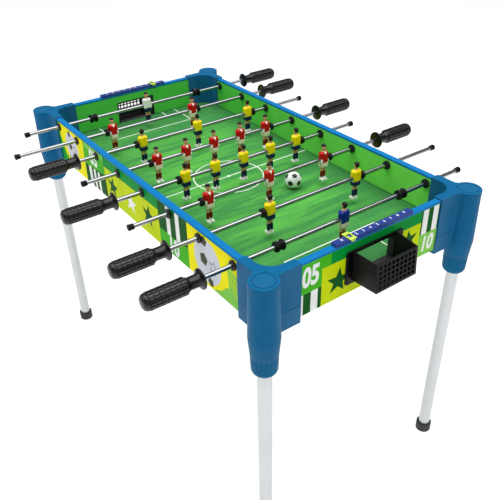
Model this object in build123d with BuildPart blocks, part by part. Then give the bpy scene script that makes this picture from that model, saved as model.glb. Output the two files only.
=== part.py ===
from build123d import *
import math
import os

# Tabletop-size foosball table on four screw-in legs.
#
# Frame: millimetres, +Z up, origin on the floor under the middle of the table.
# X runs along the table from the left goal to the right goal, Y across it.
# The front is the -Y side.

os.makedirs("parts", exist_ok=True)

# ---------------------------------------------------------------- driving dimensions
# heights above the floor
rod_height = 490.0
rail_top = rod_height + 13.0
casing_top = rod_height + 15.0
panel_top = rod_height + 8.0
panel_bottom = rod_height - 69.0
casing_bottom = rod_height - 76.0
field_top = rod_height - 46.0
socket_top = rod_height - 12.0

# plan of the box
panel_outer_x = 344.0
panel_outer_y = 182.0
panel_thickness = 10.0
panel_inner_x = panel_outer_x - panel_thickness
panel_inner_y = panel_outer_y - panel_thickness
end_panel_reach = panel_inner_y - 2.0
field_thickness = 5.0

# rods
rod_pitch = 80.0
rod_count = 8
rod_radius = 3.2
rod_wall = 0.8
running_gap = 0.06

# corner casings and legs
wing_end_x = 290.0
wing_end_y = 127.5
casing_skin = 2.5
inner_corner_radius = 25.0
outer_corner_radius = 8.0
post_x = 345.5
post_y = 184.5
post_radius_top = 19.6
post_blend = 0.3
post_radius_mid = 21.2
post_radius_low = 19.0
post_mid_height = rod_height - 70.0
post_bottom = rod_height - 94.0
seam_height = rod_height - 48.0
leg_radius = 9.8
leg_wall = 1.2
foot_radius = 13.2
foot_height = 18.0
foot_floor = 5.0
body_gap = 0.5

# goals
mouth_half_width = 38.0
mouth_top = rod_height - 6.5
goal_depth = 44.0
goal_wall = 2.5
goal_flange_half_width = 52.0
goal_flange_top = rod_height - 1.5
goal_flange_bottom = rod_height - 53.5
net_pitch = 8.0
net_hole = 5.6
net_columns = 9
net_rows = 5

# score counters
score_bar_length = 141.0
score_bar_width = 11.0
score_bar_height = 4.5
score_cell = 12.6
slider_window = 7.0

corners = {
    "front_left": (-1, -1),
    "front_right": (1, -1),
    "back_left": (-1, 1),
    "back_right": (1, 1),
}

# Rods from left to right.  "side" is the side the grip stands on (1 back, -1 front), "men" the
# number of figures, "rest" where the middle figure stands off the centre line at rest.
rods = [
    {"side": 1, "men": 1, "rest": -1.5},
    {"side": 1, "men": 2, "rest": -29.5},
    {"side": -1, "men": 3, "rest": 16.0},
    {"side": 1, "men": 5, "rest": -1.0},
    {"side": -1, "men": 5, "rest": 4.5},
    {"side": 1, "men": 3, "rest": -4.0},
    {"side": -1, "men": 2, "rest": 19.5},
    {"side": -1, "men": 1, "rest": 3.0},
]
# figure pitch, and reach of the grip flange and of the rod's plain end, by number of figures
figure_pitch = {1: 0.0, 2: 167.0, 3: 111.5, 5: 55.3}
grip_reach = {1: 232.0, 2: 250.0, 3: 231.0, 5: 231.0}
plain_reach = {1: 243.5, 2: 261.0, 3: 240.5, 5: 241.0}

# figures
figure_top = 26.0
figure_bottom = -38.5
figure_half_width = 8.8
stop_length = 6.0
stop_radius = 6.6
keeper_stop_offset = 113.5
keeper_stop_length = 14.0

# grip
grip_length = 81.5
grip_flange_radius = 14.4
grip_neck_radius = 7.5
grip_body_radius = 11.9
grip_bore_depth = 58.0
grip_end_round = 8.2

# ball at rest on the field
ball_radius = 14.0
ball_place = (100.5, 61.0)


def save(piece, name):
    """Label a finished piece and write it as its own STEP file."""
    piece.part.label = name
    export_step(piece.part, f"parts/{name}.step")


def rod_x(number):
    """X of a rod, counted from 1 at the left."""
    return (number - (rod_count + 1) / 2) * rod_pitch


def block(low, high, mode=Mode.ADD):
    """A box between two opposite corners."""
    middle = tuple((a + b) / 2 for a, b in zip(low, high))
    with Locations(middle):
        Box(*[b - a for a, b in zip(low, high)], mode=mode)


def quarter(signs, x_span, y_span, z_span, mode=Mode.ADD):
    """A box given for the back right corner, mirrored to another corner by the signs of X and Y."""
    xs = sorted(signs[0] * value for value in x_span)
    ys = sorted(signs[1] * value for value in y_span)
    block((xs[0], ys[0], z_span[0]), (xs[1], ys[1], z_span[1]), mode)


# ---------------------------------------------------------------- playing surface
with BuildPart() as playfield:
    block(
        (-panel_inner_x, -panel_inner_y, field_top - field_thickness),
        (panel_inner_x, panel_inner_y, field_top),
    )
save(playfield, "playfield")

# ---------------------------------------------------------------- side panels with rod holes
bushing_barrel_radius = 5.0
bushing_bore_radius = rod_radius + 0.1
bushing_flange_radius_in = 7.0
bushing_flange_radius_out = 7.0
bushing_flange = 3.0


def across(x, y, z):
    """A sketch plane at a point, facing along +Y."""
    return Plane(origin=(x, y, z), x_dir=(-1, 0, 0), z_dir=(0, 1, 0))


for side_name, side in (("front", -1), ("back", 1)):
    with BuildPart() as side_panel:
        quarter(
            (1, side),
            (-panel_inner_x, panel_inner_x),
            (panel_inner_y, panel_outer_y),
            (panel_bottom, panel_top),
        )
        with BuildSketch(across(0, -panel_outer_y, rod_height)):
            with GridLocations(rod_pitch, rod_pitch, rod_count, 1):
                Circle(bushing_barrel_radius)
        extrude(amount=2 * panel_outer_y, mode=Mode.SUBTRACT)
    save(side_panel, f"side_panel_{side_name}")

# ---------------------------------------------------------------- end panels with goal mouths
for end_name, end in (("left", -1), ("right", 1)):
    with BuildPart() as end_panel:
        quarter(
            (end, 1),
            (panel_inner_x, panel_outer_x),
            (-end_panel_reach, end_panel_reach),
            (panel_bottom, panel_top),
        )
        quarter(
            (end, 1),
            (panel_inner_x, panel_outer_x),
            (-mouth_half_width - goal_wall, mouth_half_width + goal_wall),
            (field_top, mouth_top + goal_wall),
            mode=Mode.SUBTRACT,
        )
    save(end_panel, f"end_panel_{end_name}")

# ---------------------------------------------------------------- rail trims on the panels
trim_half_width = 7.0
trim_lip = 0.8
trim_round = 1.2
panel_mid_x = panel_outer_x - panel_thickness / 2
panel_mid_y = panel_outer_y - panel_thickness / 2


def rail_section(plane):
    """Section of the rail trim, a cap over the panel's top edge with a lip on each face."""
    with BuildSketch(plane) as section:
        with Locations((0, (rail_top + panel_top) / 2 - rod_height - trim_lip / 2)):
            RectangleRounded(2 * trim_half_width, rail_top - panel_top + trim_lip, trim_round)
        with Locations((0, panel_top - rod_height - trim_lip)):
            Rectangle(panel_thickness, 2 * trim_lip, mode=Mode.SUBTRACT)
    return section.sketch


for side_name, side in (("front", -1), ("back", 1)):
    with BuildPart() as side_trim:
        rail_start = (-wing_end_x, side * panel_mid_y, rod_height)
        rail = rail_section(Plane(rail_start, x_dir=(0, 1, 0), z_dir=(1, 0, 0)))
        extrude(rail, amount=2 * wing_end_x)
    save(side_trim, f"side_trim_{side_name}")

for end_name, end in (("left", -1), ("right", 1)):
    with BuildPart() as end_trim:
        rail = rail_section(across(end * panel_mid_x, -wing_end_y, rod_height))
        extrude(rail, amount=2 * wing_end_y)
    save(end_trim, f"end_trim_{end_name}")

# ---------------------------------------------------------------- corner casings with leg posts
wing_width = panel_thickness + 2 * casing_skin
wing_length_x = post_x - wing_end_x
wing_length_y = post_y - wing_end_y
casing_edge = 1.0
groove_depth = 0.8
groove_width = 0.8
cap_groove_radius = 14.6
seam_width = 0.7
seam_depth = 0.7


def teardrop(radius, tip, sx, sy):
    """Round outline with a pointed notch towards the middle of the table."""
    Circle(radius)
    slant = 0.5**0.5
    half = radius * 0.42
    Polygon(
        (-sx * slant * tip, -sy * slant * tip),
        (-sx * slant * radius * 0.85 + sy * slant * half, -sy * slant * radius * 0.85 - sx * slant * half),
        (-sx * slant * radius * 0.85 - sy * slant * half, -sy * slant * radius * 0.85 + sx * slant * half),
        align=None,
    )


def corner_casing(sx, sy):
    """One moulded corner: two wings over the panel ends, a rounded inner corner and the leg post."""
    inner_corner = (sx * (panel_inner_x - casing_skin), sy * (panel_inner_y - casing_skin), 0)
    seam_turn = math.degrees(math.atan2(sy, sx))
    with BuildPart() as casing:
        with BuildSketch(Plane.XY.offset(casing_bottom)) as footprint:
            with Locations((sx * (wing_end_x + wing_length_x / 2), sy * panel_mid_y)):
                Rectangle(wing_length_x, wing_width)
            with Locations((sx * panel_mid_x, sy * (wing_end_y + wing_length_y / 2))):
                Rectangle(wing_width, wing_length_y)
            fillet(footprint.vertices().sort_by_distance(inner_corner)[0], inner_corner_radius)
            with Locations((sx * post_x, sy * post_y)):
                Circle(post_radius_top)
            for neck in (
                (sx * (post_x - post_radius_top), sy * (panel_outer_y + casing_skin), 0),
                (sx * (panel_outer_x + casing_skin), sy * (post_y - post_radius_top), 0),
            ):
                fillet(footprint.vertices().sort_by_distance(neck)[0], outer_corner_radius)
        extrude(amount=casing_top - casing_bottom)
        fillet(casing.faces().sort_by(Axis.Z)[-1].edges(), casing_edge)
        # the post swells a little towards the middle and tapers to the leg collar
        with Locations(Location((sx * post_x, sy * post_y, post_mid_height), (0, 0, seam_turn))):
            Cone(
                post_radius_mid,
                post_radius_top - post_blend,
                casing_top - 2 * casing_edge - post_mid_height,
                align=(Align.CENTER, Align.CENTER, Align.MIN),
            )
            Cone(
                post_radius_low,
                post_radius_mid,
                post_mid_height - post_bottom,
                align=(Align.CENTER, Align.CENTER, Align.MAX),
            )
        # slots for the panel ends and the groove that the playfield sits in
        slots = (
            ((wing_end_x, panel_inner_x), (panel_inner_y, panel_outer_y), (panel_bottom, panel_top)),
            ((panel_inner_x, panel_outer_x), (wing_end_y, end_panel_reach), (panel_bottom, panel_top)),
            ((0, panel_inner_x), (0, panel_inner_y), (field_top - field_thickness, field_top)),
        )
        for x_span, y_span, z_span in slots:
            quarter((sx, sy), x_span, y_span, z_span, mode=Mode.SUBTRACT)
        # leg socket
        with Locations((sx * post_x, sy * post_y, socket_top)):
            Cylinder(
                leg_radius,
                socket_top - post_bottom,
                align=(Align.CENTER, Align.CENTER, Align.MAX),
                mode=Mode.SUBTRACT,
            )
        # moulded groove round the post's cap
        with BuildSketch(Plane((sx * post_x, sy * post_y, casing_top))):
            teardrop(cap_groove_radius, cap_groove_radius + 4.5, sx, sy)
            with Locations((0, 0)):
                Circle(cap_groove_radius - groove_width, mode=Mode.SUBTRACT)
        extrude(amount=-groove_depth, mode=Mode.SUBTRACT)
        # seam line across each wing's outer face
        seam_z = (seam_height, seam_height + seam_width)
        face_x = panel_outer_x + casing_skin
        face_y = panel_outer_y + casing_skin
        seam_end = post_radius_top + outer_corner_radius
        seams = (
            ((wing_end_x, post_x - seam_end), (face_y - seam_depth, face_y)),
            ((face_x - seam_depth, face_x), (wing_end_y, post_y - seam_end)),
        )
        for x_span, y_span in seams:
            quarter((sx, sy), x_span, y_span, seam_z, mode=Mode.SUBTRACT)
    return casing


for corner, (sx, sy) in corners.items():
    save(corner_casing(sx, sy), f"corner_casing_{corner}")

# ---------------------------------------------------------------- fluted leg collars
collar_top = post_bottom - body_gap
collar_height = 33.5
collar_radius_top = 18.8
collar_radius_low = 17.8
collar_foot_radius = 11.8
collar_round = 9.0
flute_end_gap = 5.0
collar_bore_radius = leg_radius + running_gap
flute_count = 18
flute_radius = 2.2
flute_offset = 0.9


def leg_collar(sx, sy):
    """Tapered hand-turned collar round the leg, with shallow flutes and a rounded lower edge."""
    x = sx * post_x
    y = sy * post_y
    low = collar_top - collar_height
    with BuildPart() as collar:
        with BuildSketch(Plane((x, y, 0), x_dir=(1, 0, 0), z_dir=(0, -1, 0))):
            with BuildLine():
                Line((collar_bore_radius, low), (collar_bore_radius, collar_top))
                Line((collar_bore_radius, collar_top), (collar_radius_top, collar_top))
                Line((collar_radius_top, collar_top), (collar_radius_low, low + collar_round))
                RadiusArc((collar_radius_low, low + collar_round), (collar_foot_radius, low), collar_round)
                Line((collar_foot_radius, low), (collar_bore_radius, low))
            make_face()
        revolve(axis=Axis((x, y, 0), (0, 0, 1)))
        with BuildSketch(Plane((x, y, low))):
            with PolarLocations(collar_radius_top + flute_offset, flute_count, start_angle=180 / flute_count):
                Circle(flute_radius)
        extrude(amount=collar_height - flute_end_gap, mode=Mode.SUBTRACT)
    return collar


for corner, (sx, sy) in corners.items():
    save(leg_collar(sx, sy), f"leg_collar_{corner}")

# ---------------------------------------------------------------- leg tubes and foot caps
post_places = [(sx * post_x, sy * post_y) for sx, sy in corners.values()]
with BuildPart() as leg_tubes:
    with BuildSketch(Plane.XY.offset(foot_floor)):
        with Locations(*post_places):
            Circle(leg_radius)
            Circle(leg_radius - leg_wall, mode=Mode.SUBTRACT)
    extrude(amount=socket_top - foot_floor)
save(leg_tubes, "leg_tubes")

with BuildPart() as foot_caps:
    with BuildSketch():
        with Locations(*post_places):
            Circle(foot_radius)
    extrude(amount=foot_height)
    rims = foot_caps.edges().group_by(Axis.Z)
    chamfer(rims[0] + rims[-1], 1.0)
    with BuildSketch(Plane.XY.offset(foot_floor)):
        with Locations(*post_places):
            Circle(leg_radius)
    extrude(amount=foot_height, mode=Mode.SUBTRACT)
save(foot_caps, "foot_caps")

# ---------------------------------------------------------------- goals
goal_outer_x = panel_outer_x + goal_depth
goal_flange_x = panel_outer_x + goal_wall
liner_start = panel_inner_x - 1.5
mouth = (-mouth_half_width, mouth_half_width)
liner = (-mouth_half_width - goal_wall, mouth_half_width + goal_wall)

for end_name, end in (("left", -1), ("right", 1)):
    with BuildPart() as goal_box:
        # frame plate on the outside of the end panel
        quarter(
            (end, 1),
            (panel_outer_x, goal_flange_x),
            (-goal_flange_half_width, goal_flange_half_width),
            (goal_flange_bottom, goal_flange_top),
        )
        # catch tray outside the panel
        quarter((end, 1), (goal_flange_x, goal_outer_x), liner, (field_top - goal_wall, goal_flange_top))
        fillet(goal_box.edges().filter_by(Axis.Z), 1.2)
        # liner through the panel
        quarter((end, 1), (liner_start, panel_outer_x), liner, (field_top, mouth_top + goal_wall))
        tray = (goal_flange_x, goal_outer_x - goal_wall)
        quarter((end, 1), tray, mouth, (field_top, goal_flange_top), mode=Mode.SUBTRACT)
        quarter((end, 1), (liner_start, goal_flange_x), mouth, (field_top, mouth_top), mode=Mode.SUBTRACT)
        # net holes in the outer wall
        net_middle = (end * (goal_outer_x - goal_wall), 0, (field_top + goal_flange_top) / 2)
        with BuildSketch(Plane(net_middle, x_dir=(0, end, 0), z_dir=(end, 0, 0))):
            with GridLocations(net_pitch, net_pitch, net_columns, net_rows):
                Rectangle(net_hole, net_hole)
        extrude(amount=goal_wall, mode=Mode.SUBTRACT)
    save(goal_box, f"goal_box_{end_name}")

# ---------------------------------------------------------------- score counters
bar_low = rail_top
bar_top = bar_low + score_bar_height
slider_gap = 0.4
slider_length = 13.0
slider_top = bar_top + slider_gap + 1.4
slider_skin = 1.6
slider_skirt = 5.0
first_cell = -score_bar_length / 2 + (score_bar_length - 9 * score_cell) / 2

for end_name, end in (("left", -1), ("right", 1)):
    with BuildPart() as score_bar:
        with BuildSketch(Plane((end * panel_mid_x, 0, bar_low))):
            RectangleRounded(score_bar_width, score_bar_length, 2.0)
        extrude(amount=score_bar_height)
        chamfer(score_bar.faces().sort_by(Axis.Z)[-1].edges(), 0.6)
    save(score_bar, f"score_bar_{end_name}")

    # the slider stands on the second cell, counted from this end's right-hand corner
    slide_y = end * (first_cell + score_cell)
    inner_x = panel_mid_x - trim_half_width - slider_gap
    outer_face_x = panel_mid_x + trim_half_width + slider_gap
    with BuildPart() as score_slider:
        quarter(
            (end, 1),
            (inner_x - slider_skin, outer_face_x + slider_skin),
            (slide_y - slider_length / 2, slide_y + slider_length / 2),
            (rail_top - slider_skirt, slider_top),
        )
        fillet(score_slider.edges().filter_by(Axis.Z), 0.8)
        quarter(
            (end, 1),
            (inner_x, outer_face_x),
            (slide_y - slider_length, slide_y + slider_length),
            (0, rail_top + slider_gap),
            mode=Mode.SUBTRACT,
        )
        channel = score_bar_width / 2 + slider_gap
        block(
            (end * panel_mid_x - channel, slide_y - slider_length, rail_top),
            (end * panel_mid_x + channel, slide_y + slider_length, bar_top + slider_gap),
            mode=Mode.SUBTRACT,
        )
        with BuildSketch(Plane((end * panel_mid_x, slide_y, bar_top))):
            RectangleRounded(slider_window, slider_window, 0.8)
        extrude(amount=slider_top, mode=Mode.SUBTRACT)
    save(score_slider, f"score_slider_{end_name}")

# ---------------------------------------------------------------- rod bushings and panel screws
with BuildPart() as rod_bushings:
    for side in (-1, 1):
        for number in range(1, rod_count + 1):
            x = rod_x(number)
            stations = (
                (panel_inner_y - bushing_flange, panel_inner_y, bushing_flange_radius_in),
                (panel_inner_y, panel_outer_y, bushing_barrel_radius),
                (panel_outer_y, panel_outer_y + bushing_flange, bushing_flange_radius_out),
            )
            for near, far, radius in stations:
                low_y = min(side * near, side * far)
                with BuildSketch(across(x, low_y, rod_height)):
                    Circle(radius)
                extrude(amount=far - near)
    with BuildSketch(across(0, -panel_outer_y - 2 * bushing_flange, rod_height)):
        with GridLocations(rod_pitch, rod_pitch, rod_count, 1):
            Circle(bushing_bore_radius)
    extrude(amount=2 * panel_outer_y + 4 * bushing_flange, mode=Mode.SUBTRACT)
save(rod_bushings, "rod_bushings")

screw_head_radius = 3.0
screw_head_height = 1.6
screw_inset = 14.0
# under each corner casing one screw runs up into the end of each panel
with BuildPart() as casing_screws:
    for sx, sy in corners.values():
        for x, y in (
            (sx * (wing_end_x + screw_inset), sy * panel_mid_y),
            (sx * panel_mid_x, sy * (wing_end_y + screw_inset)),
        ):
            with Locations((x, y, casing_bottom)):
                Cylinder(
                    screw_head_radius,
                    screw_head_height,
                    align=(Align.CENTER, Align.CENTER, Align.MAX),
                )
save(casing_screws, "casing_screws")


# ---------------------------------------------------------------- rods, grips, stops and figures
def rod_tube(number, side, rest, men):
    """Steel tube from its plain end to the bottom of the grip's bore."""
    plain_end = rest - side * plain_reach[men]
    grip_end = rest + side * (grip_reach[men] + grip_bore_depth)
    with BuildPart() as tube:
        with BuildSketch(across(rod_x(number), min(plain_end, grip_end), rod_height)):
            Circle(rod_radius)
            Circle(rod_radius - rod_wall, mode=Mode.SUBTRACT)
        extrude(amount=abs(grip_end - plain_end))
    return tube


def rod_grip(number, side, rest, men):
    """Turned grip: thin flange, neck, shoulder and a ribbed body with a rounded end."""
    start = rest + side * grip_reach[men]
    plane = Plane((rod_x(number), start, rod_height), x_dir=(0, side, 0), z_dir=(side, 0, 0))
    with BuildPart() as grip:
        with BuildSketch(plane):
            with BuildLine():
                Polyline(
                    (0, 0),
                    (0, grip_flange_radius - 1.0),
                    (1.0, grip_flange_radius),
                    (2.6, grip_flange_radius),
                    (4.0, grip_neck_radius + 1.0),
                    (6.0, grip_neck_radius),
                    (17.0, grip_neck_radius),
                    (24.0, grip_body_radius),
                    (grip_length - 8.0, grip_body_radius),
                )
                RadiusArc((grip_length - 8.0, grip_body_radius), (grip_length, 5.0), grip_end_round)
                Line((grip_length, 5.0), (grip_length, 0))
                Line((grip_length, 0), (0, 0))
            make_face()
        revolve(axis=Axis((rod_x(number), start, rod_height), (0, 1, 0)))
        with Locations(Location((rod_x(number), start, rod_height), (-90 * side, 0, 0))):
            Cylinder(
                rod_radius,
                grip_bore_depth,
                align=(Align.CENTER, Align.CENTER, Align.MIN),
                mode=Mode.SUBTRACT,
            )
    return grip


def figure_places(men, rest):
    """Y of each figure on a rod."""
    pitch = figure_pitch[men]
    return [rest + (k - (men - 1) / 2) * pitch for k in range(men)]


def rod_stops(number, side, rest, men):
    """Two round stops outside the outermost figures, and the cap on the rod's plain end."""
    x = rod_x(number)
    bore = rod_radius + running_gap
    cap_length = 9.0
    cap_cover = 7.0
    plain_end = rest - side * plain_reach[men]
    with BuildPart() as stops:
        for direction in (-1, 1):
            if men == 1:
                middle = rest + direction * keeper_stop_offset
                half = keeper_stop_length / 2
                rings = [(-half, -half + 4.5, 7.6), (-half + 4.5, half - 4.5, 5.8), (half - 4.5, half, 7.6)]
            else:
                outermost = rest + direction * (men - 1) / 2 * figure_pitch[men]
                middle = outermost + direction * (figure_half_width + body_gap + stop_length / 2)
                rings = [(-stop_length / 2, stop_length / 2, stop_radius)]
            for low, high, radius in rings:
                with BuildSketch(across(x, middle + low, rod_height)):
                    Circle(radius)
                    Circle(bore, mode=Mode.SUBTRACT)
                extrude(amount=high - low)
        cap_out = plain_end - side * (cap_length - cap_cover)
        cap_in = plain_end + side * cap_cover
        with BuildSketch(across(x, min(cap_out, cap_in), rod_height)):
            Circle(5.2)
        extrude(amount=cap_length)
        with BuildSketch(across(x, min(plain_end - side * body_gap, cap_in), rod_height)):
            Circle(bore)
        extrude(amount=cap_cover + body_gap, mode=Mode.SUBTRACT)
    return stops


def rod_figures(number, facing, rest, men):
    """The figures clamped on a rod; facing is the direction along X that they look in."""
    x = rod_x(number)
    with BuildPart() as figures:
        for y in figure_places(men, rest):
            # shirt with arms
            with BuildSketch(Plane((x, y, rod_height - 6.0))):
                RectangleRounded(11.0, 2 * figure_half_width - 3.0, 3.0)
            with BuildSketch(Plane((x, y, rod_height + 6.0))):
                RectangleRounded(11.0, 2 * figure_half_width, 3.0)
            with BuildSketch(Plane((x, y, rod_height + 14.0))):
                RectangleRounded(7.0, 10.0, 3.0)
            loft()
            # head on its neck
            with Locations((x, y, rod_height + 13.0)):
                Cylinder(2.4, 4.0, align=(Align.CENTER, Align.CENTER, Align.MIN))
            with Locations((x, y, rod_height + figure_top - 5.4)):
                Sphere(5.4)
            # shorts, legs and boots
            block((x - 4.8, y - 6.2, rod_height - 15.0), (x + 4.8, y + 6.2, rod_height - 5.0))
            block((x - 3.6, y - 5.6, rod_height - 33.0), (x + 3.6, y + 5.6, rod_height - 15.0))
            toe = facing * 7.6
            heel = -facing * 5.0
            block(
                (x + min(toe, heel), y - 6.6, rod_height + figure_bottom),
                (x + max(toe, heel), y + 6.6, rod_height - 31.5),
            )
            with Locations(Location((x, y, rod_height), (90, 0, 0))):
                Cylinder(rod_radius, 4 * figure_half_width, mode=Mode.SUBTRACT)
    return figures


for number, rod in enumerate(rods, start=1):
    side, rest, men = rod["side"], rod["rest"], rod["men"]
    save(rod_tube(number, side, rest, men), f"rod_{number}_tube")
    save(rod_grip(number, side, rest, men), f"rod_{number}_grip")
    save(rod_stops(number, side, rest, men), f"rod_{number}_stops")
    save(rod_figures(number, side, rest, men), f"rod_{number}_figures")

# ---------------------------------------------------------------- ball
with BuildPart() as ball:
    with Locations((ball_place[0], ball_place[1], field_top + ball_radius)):
        Sphere(ball_radius)
save(ball, "ball")
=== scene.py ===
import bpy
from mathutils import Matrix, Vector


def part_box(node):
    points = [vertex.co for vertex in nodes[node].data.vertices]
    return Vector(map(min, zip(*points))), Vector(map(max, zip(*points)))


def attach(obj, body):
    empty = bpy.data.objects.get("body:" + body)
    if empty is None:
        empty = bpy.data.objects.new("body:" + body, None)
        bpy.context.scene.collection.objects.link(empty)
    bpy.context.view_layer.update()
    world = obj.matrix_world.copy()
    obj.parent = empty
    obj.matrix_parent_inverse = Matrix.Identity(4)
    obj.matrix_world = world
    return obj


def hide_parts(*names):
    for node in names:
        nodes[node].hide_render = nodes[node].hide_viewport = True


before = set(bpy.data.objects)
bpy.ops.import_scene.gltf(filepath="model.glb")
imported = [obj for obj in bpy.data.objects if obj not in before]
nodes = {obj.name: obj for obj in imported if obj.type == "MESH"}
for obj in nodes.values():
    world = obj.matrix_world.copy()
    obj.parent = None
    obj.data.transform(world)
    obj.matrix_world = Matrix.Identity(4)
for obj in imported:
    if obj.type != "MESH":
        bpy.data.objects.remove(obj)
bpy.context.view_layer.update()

import math

import bpy
from mathutils import Matrix, Vector

print("stage: frame loaded")

tubeLow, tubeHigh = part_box("rod_1_tube")
rodHeight = (tubeLow.z + tubeHigh.z) / 2
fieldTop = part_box("playfield")[1].z
millimetre = 0.001


def mm(*values):
    # millimetres to metres, one value or a vector
    scaled = [value * millimetre for value in values]
    return scaled[0] if len(scaled) == 1 else Vector(scaled)


def place(x, y, z):
    # a point in the table's frame, with z counted from the rods' axes
    return Vector((x * millimetre, y * millimetre, rodHeight + z * millimetre))


# picking, naming and finishing pieces

def deselectAll():
    if bpy.context.object and bpy.context.object.mode != "OBJECT":
        bpy.ops.object.mode_set(mode="OBJECT")
    bpy.ops.object.select_all(action="DESELECT")


def activate(piece):
    deselectAll()
    piece.select_set(True)
    bpy.context.view_layer.objects.active = piece


def editMode(piece, selectMode="FACE"):
    activate(piece)
    bpy.ops.object.mode_set(mode="EDIT")
    bpy.ops.mesh.select_mode(type=selectMode)


def editAll(piece, selectMode="FACE"):
    # edit mode with everything picked
    editMode(piece, selectMode)
    bpy.ops.mesh.select_all(action="SELECT")


def objectMode():
    bpy.ops.object.mode_set(mode="OBJECT")


def settle(piece):
    activate(piece)
    bpy.ops.object.transform_apply(location=True, rotation=True, scale=True)
    return piece


def nameNew(name):
    piece = bpy.context.object
    piece.name = name
    piece.data.name = name
    return settle(piece)


def applyModifier(piece, kind, **values):
    activate(piece)
    modifier = piece.modifiers.new(kind, kind)
    for key, value in values.items():
        setattr(modifier, key, value)
    bpy.ops.object.modifier_apply(modifier=modifier.name)


def pickFaces(piece, test):
    # leaves the piece in edit mode with only the faces that pass the test picked
    editMode(piece)
    bpy.ops.mesh.select_all(action="DESELECT")
    objectMode()
    for face in piece.data.polygons:
        face.select = test(face)
    editMode(piece)


def roundEdges(piece, width, segments, angle):
    # width in millimetres; only edges sharper than the angle in degrees
    limit = math.radians(angle)
    applyModifier(piece, "BEVEL", width=mm(width), segments=segments, limit_method="ANGLE", angle_limit=limit)


def thicken(piece, thickness):
    # adds the thickness in millimetres behind the faces
    applyModifier(piece, "SOLIDIFY", thickness=mm(thickness), offset=-1)


def faceAlong(piece, direction):
    # turns a flat piece's faces to look along the direction
    piece.data.update()
    if piece.data.polygons[0].normal.dot(Vector(direction)) < 0:
        piece.data.flip_normals()


def smooth(piece, angle=35):
    activate(piece)
    bpy.ops.object.shade_smooth_by_angle(angle=math.radians(angle))


def joinPieces(pieces, name):
    deselectAll()
    for piece in pieces:
        piece.select_set(True)
    bpy.context.view_layer.objects.active = pieces[0]
    if len(pieces) > 1:
        bpy.ops.object.join()
    joined = bpy.context.object
    joined.name = name
    joined.data.name = name
    return joined


def copyPiece(piece, name, matrix):
    # a copy with its own mesh, moved in the mesh
    twin = piece.copy()
    twin.data = piece.data.copy()
    twin.name = name
    twin.data.name = name
    bpy.context.collection.objects.link(twin)
    twin.data.transform(matrix)
    return twin


def discard(piece):
    mesh = piece.data
    bpy.data.objects.remove(piece)
    bpy.data.meshes.remove(mesh)


def addBox(name, low, high, rounding=0.0, segments=3):
    deselectAll()
    low, high = Vector(low), Vector(high)
    bpy.ops.mesh.primitive_cube_add(size=1, location=(low + high) / 2, scale=high - low)
    box = nameNew(name)
    if rounding:
        applyModifier(box, "BEVEL", width=rounding, segments=segments, limit_method="NONE")
    return box


def addBall(name, centre, radii, segments=24, rings=14):
    deselectAll()
    bpy.ops.mesh.primitive_uv_sphere_add(
        segments=segments, ring_count=rings, radius=1, location=centre, scale=radii
    )
    return nameNew(name)


def addLimb(name, start, end, startRadius, endRadius, sides=20):
    # a tapered round bar with rounded ends
    start, end = Vector(start), Vector(end)
    along = end - start
    deselectAll()
    bpy.ops.mesh.primitive_cone_add(
        vertices=sides,
        radius1=startRadius,
        radius2=endRadius,
        depth=along.length,
        location=(start + end) / 2,
        rotation=along.to_track_quat("Z", "Y").to_euler(),
    )
    bar = nameNew(name)
    knobs = [
        addBall(name + "A", start, [startRadius] * 3, 16, 10),
        addBall(name + "B", end, [endRadius] * 3, 16, 10),
    ]
    return joinPieces([bar] + knobs, name)


frameSize = {"outer": 0.05, "border": 0.01}


def addFlatFrame(name, outerSpot, innerSpot):
    # a flat four-sided frame; each spot function turns a corner's signs into its place
    deselectAll()
    bpy.ops.mesh.primitive_plane_add(size=frameSize["outer"])
    piece = nameNew(name)
    editAll(piece)
    bpy.ops.mesh.inset(thickness=frameSize["border"])
    bpy.ops.mesh.delete(type="FACE")
    objectMode()
    for vertex in piece.data.vertices:
        signs = (math.copysign(1, vertex.co.x), math.copysign(1, vertex.co.y))
        isOuter = abs(vertex.co.x) > frameSize["outer"] / 2 - frameSize["border"] / 2
        vertex.co = outerSpot(*signs) if isOuter else innerSpot(*signs)
    return piece


def addPatch(points, direction, finishName):
    # a flat face through the points, looking along the direction
    deselectAll()
    bpy.ops.mesh.primitive_circle_add(vertices=len(points), radius=0.01, fill_type="NGON")
    patch = nameNew("patch")
    for vertex, point in zip(patch.data.vertices, points):
        vertex.co = point
    faceAlong(patch, direction)
    setFinish(patch, finishName)
    return patch


def addLettering(words, size, weight, fineness):
    # flat lettering as a mesh, centred on the origin
    deselectAll()
    bpy.ops.object.text_add(location=(0, 0, 0))
    text = bpy.context.object
    text.data.body = words
    text.data.size = mm(size)
    text.data.align_x = "CENTER"
    text.data.align_y = "CENTER"
    text.data.offset = mm(weight)
    text.data.resolution_u = fineness
    activate(text)
    bpy.ops.object.convert(target="MESH")
    return nameNew("lettering")


def turnOnLathe(name, profile, steps):
    # profile points are (radius, distance along Y) in millimetres; the axis is Y
    profile = [(mm(radius), mm(along)) for radius, along in profile]
    deselectAll()
    bpy.ops.mesh.primitive_plane_add(size=0.001)
    piece = nameNew(name)
    editAll(piece, "VERT")
    bpy.ops.mesh.merge(type="CENTER")
    bpy.ops.transform.translate(value=(profile[0][0], profile[0][1], 0))
    for before, after in zip(profile, profile[1:]):
        step = (after[0] - before[0], after[1] - before[1], 0)
        bpy.ops.mesh.extrude_vertices_move(TRANSFORM_OT_translate={"value": step})
    bpy.ops.mesh.select_all(action="SELECT")
    bpy.ops.mesh.spin(steps=steps, angle=2 * math.pi, center=(0, 0, 0), axis=(0, 1, 0))
    bpy.ops.mesh.select_all(action="SELECT")
    bpy.ops.mesh.remove_doubles(threshold=0.00002)
    bpy.ops.mesh.normals_make_consistent(inside=False)
    objectMode()
    return piece


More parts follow.
